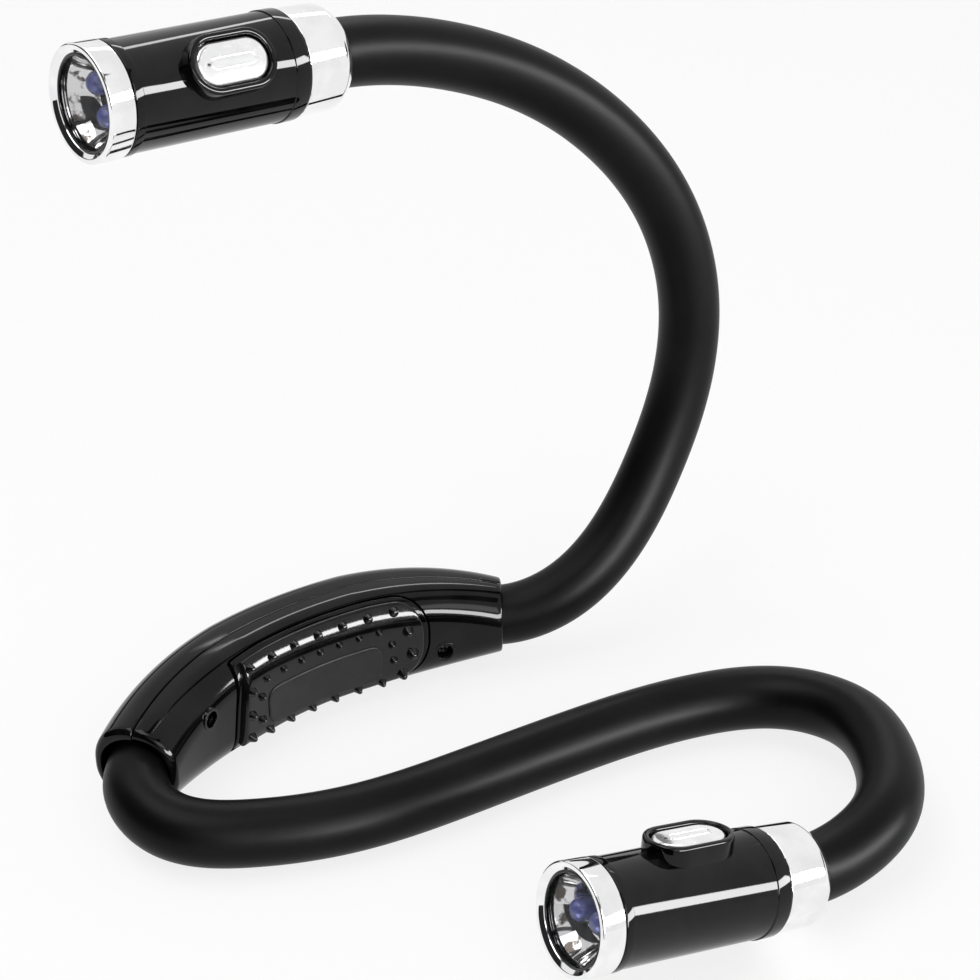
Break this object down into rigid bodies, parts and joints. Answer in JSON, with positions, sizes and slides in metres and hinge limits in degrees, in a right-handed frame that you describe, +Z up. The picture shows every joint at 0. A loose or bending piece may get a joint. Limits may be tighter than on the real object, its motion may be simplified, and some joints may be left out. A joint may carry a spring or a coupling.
{
  "type": "neck reading light",
  "caption": "Neck reading light: lamp heads with push buttons on bendable arms that leave a curved battery housing with a hinged, nubbed battery door.",
  "frame": {"origin": "on the housing's flat underside, at the middle of its arc", "axes": "+Z up, +X to the viewer's right along the longest extent, +Y away from the viewer; the housing's hollow side faces -Y and +X"},
  "size_m": [0.187, 0.1745, 0.1775],
  "materials": {
    "smoked_plastic": "glossy smoked black, slightly see-through",
    "pad_plastic": "glossy black with raised nubs",
    "plated_steel": "nickel-plated steel",
    "spring_steel": "plated spring wire",
    "cell_jacket": null,
    "soft_sleeve": "soft matte black",
    "core_plastic": "black nylon",
    "chrome_plate": "bright chrome plate",
    "clear_lens": "clear plastic",
    "led_epoxy": "clear epoxy",
    "circuit_board": "green solder mask",
    "button_plate": "satin chrome plate",
    "inner_plastic": "plain black"
  },
  "bodies": {
    "housing": {"outer_shell": "smoked_plastic", "inner_shell": "smoked_plastic", "screw_left": "plated_steel", "screw_right": "plated_steel", "cell_upper": "cell_jacket", "cell_lower": "cell_jacket", "spring_upper": "spring_steel", "spring_lower": "spring_steel", "contact_bridge": "plated_steel", "contact_positive": "plated_steel", "contact_negative": "plated_steel", "arm_1_core_0": "core_plastic", "arm_2_core_0": "core_plastic"},
    "door": {"battery_door": "smoked_plastic", "grip_pad": "pad_plastic"},
    "arm_1_link_1": {"arm_1_sleeve_1": "soft_sleeve", "arm_1_core_1": "core_plastic"},
    "arm_1_link_2": {"arm_1_sleeve_2": "soft_sleeve", "arm_1_core_2": "core_plastic"},
    "arm_1_link_3": {"arm_1_sleeve_3": "soft_sleeve", "arm_1_core_3": "core_plastic"},
    "arm_1_link_4": {"arm_1_sleeve_4": "soft_sleeve", "arm_1_core_4": "core_plastic"},
    "head_1": {"arm_1_sleeve_5": "soft_sleeve", "arm_1_core_5": "core_plastic", "head_1_collar": "chrome_plate", "head_1_arm_plug": "inner_plastic", "head_1_barrel": "smoked_plastic", "head_1_bezel_ring": "chrome_plate", "head_1_lens": "clear_lens", "head_1_reflector": "chrome_plate", "head_1_led_a": "led_epoxy", "head_1_led_b": "led_epoxy", "head_1_led_board": "circuit_board", "head_1_tact_switch": "inner_plastic", "head_1_switch_board": "circuit_board"},
    "head_1_press": {"head_1_button": "button_plate"},
    "arm_2_link_1": {"arm_2_sleeve_1": "soft_sleeve", "arm_2_core_1": "core_plastic"},
    "arm_2_link_2": {"arm_2_sleeve_2": "soft_sleeve", "arm_2_core_2": "core_plastic"},
    "arm_2_link_3": {"arm_2_sleeve_3": "soft_sleeve", "arm_2_core_3": "core_plastic"},
    "arm_2_link_4": {"arm_2_sleeve_4": "soft_sleeve", "arm_2_core_4": "core_plastic"},
    "head_2": {"arm_2_sleeve_5": "soft_sleeve", "arm_2_core_5": "core_plastic", "head_2_collar": "chrome_plate", "head_2_arm_plug": "inner_plastic", "head_2_barrel": "smoked_plastic", "head_2_bezel_ring": "chrome_plate", "head_2_lens": "clear_lens", "head_2_reflector": "chrome_plate", "head_2_led_a": "led_epoxy", "head_2_led_b": "led_epoxy", "head_2_led_board": "circuit_board", "head_2_tact_switch": "inner_plastic", "head_2_switch_board": "circuit_board"},
    "head_2_press": {"head_2_button": "button_plate"}
  },
  "joints": [
    {"name": "battery_door_swing", "type": "hinge", "parent": "housing", "child": "door", "pos_m": [-0.01518, -0.02572, 0], "axis": [0, 0, -1], "range_deg": [0, 26]},
    {"name": "arm_1_bend_1", "type": "hinge", "parent": "housing", "child": "arm_1_link_1", "pos_m": [0.06454, 0.02159, 0.01758], "axis": [-0.4687, -0.0701, 0.8805], "range_deg": [-30, 30], "deforming": ["arm_1_sleeve_1"]},
    {"name": "arm_1_bend_2", "type": "hinge", "parent": "arm_1_link_1", "child": "arm_1_link_2", "pos_m": [0.09072, 0.04253, 0.0524], "axis": [0.4517, -0.8778, 0.1595], "range_deg": [-30, 30], "deforming": ["arm_1_sleeve_2"]},
    {"name": "arm_1_bend_3", "type": "hinge", "parent": "arm_1_link_2", "child": "arm_1_link_3", "pos_m": [0.09233, 0.04881, 0.10014], "axis": [0.8542, 0.441, 0.2754], "range_deg": [-30, 30], "deforming": ["arm_1_sleeve_3"]},
    {"name": "arm_1_bend_4", "type": "hinge", "parent": "arm_1_link_3", "child": "arm_1_link_4", "pos_m": [0.06498, 0.04038, 0.13925], "axis": [0.4474, -0.8896, 0.092], "range_deg": [-30, 30], "deforming": ["arm_1_sleeve_4"]},
    {"name": "arm_1_bend_5", "type": "hinge", "parent": "arm_1_link_4", "child": "head_1", "pos_m": [0.02648, 0.01805, 0.15944], "axis": [-0.1757, -0.1482, -0.9732], "range_deg": [-30, 30], "deforming": ["arm_1_sleeve_5"]},
    {"name": "head_1_button_press", "type": "slide", "parent": "head_1", "child": "head_1_press", "axis": [-0.5769, 0.6299, -0.52], "range_m": [0, 0.0006], "stiffness_N_per_m": 300, "springref_m": -0.002},
    {"name": "arm_2_bend_1", "type": "hinge", "parent": "housing", "child": "arm_2_link_1", "pos_m": [-0.02714, -0.05842, 0.00964], "axis": [0.0117, -0.2331, 0.9724], "range_deg": [-30, 12], "deforming": ["arm_2_sleeve_1"]},
    {"name": "arm_2_bend_2", "type": "hinge", "parent": "arm_2_link_1", "child": "arm_2_link_2", "pos_m": [0.0247, -0.05194, 0.00749], "axis": [-0.4344, 0.8626, 0.2592], "range_deg": [-30, 30], "deforming": ["arm_2_sleeve_2"]},
    {"name": "arm_2_bend_3", "type": "hinge", "parent": "arm_2_link_2", "child": "arm_2_link_3", "pos_m": [0.07161, -0.02446, 0.00767], "axis": [0.1083, -0.2366, 0.9656], "range_deg": [-30, 30], "deforming": ["arm_2_sleeve_3"]},
    {"name": "arm_2_bend_4", "type": "hinge", "parent": "arm_2_link_3", "child": "arm_2_link_4", "pos_m": [0.12284, -0.01729, 0.01146], "axis": [-0.4692, -0.8135, -0.3437], "range_deg": [-30, 30], "deforming": ["arm_2_sleeve_4"]},
    {"name": "arm_2_bend_5", "type": "hinge", "parent": "arm_2_link_4", "child": "head_2", "pos_m": [0.12971, -0.06565, 0.01235], "axis": [-0.3762, 0.1187, 0.9189], "range_deg": [-30, 30], "deforming": ["arm_2_sleeve_5"]},
    {"name": "head_2_button_press", "type": "slide", "parent": "head_2", "child": "head_2_press", "axis": [-0.0688, -0.2839, -0.9564], "range_m": [0, 0.0006], "stiffness_N_per_m": 300, "springref_m": -0.002}
  ]
}
